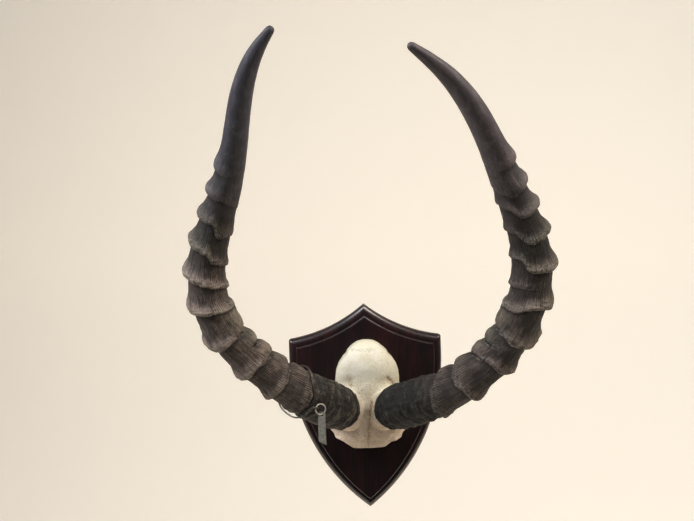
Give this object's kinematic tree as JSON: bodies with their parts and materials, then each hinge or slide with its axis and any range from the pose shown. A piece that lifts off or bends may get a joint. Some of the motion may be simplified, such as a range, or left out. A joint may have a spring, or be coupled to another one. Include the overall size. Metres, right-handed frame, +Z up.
{
  "type": "antelope horns on wall shield",
  "caption": "Pair of long ringed curving antelope horns on a sawn skull cap, screwed to a small moulded wooden wall shield.",
  "frame": {"origin": "centre of the shield's flat back, on the wall", "axes": "+Y into the wall, +Z up, +X to the viewer's right; the horns stand out towards -Y"},
  "size_m": [0.3189, 0.2634, 0.4207],
  "materials": {
    "lacquered_wood": "gloss",
    "bone": "matte",
    "horn_keratin": "satin",
    "dark_wire": "satin",
    "steel": "satin",
    "tag_metal": "satin"
  },
  "bodies": {
    "root": {"shield": "lacquered_wood", "skull_cap": "bone", "horn_left": "horn_keratin", "horn_right": "horn_keratin", "tag_wire": "dark_wire", "tag_ring": "steel", "tag": "tag_metal", "skull_screw_upper": "steel", "skull_screw_lower": "steel", "hanger": "steel", "hanger_nail_left": "steel", "hanger_nail_right": "steel"}
  },
  "joints": []
}
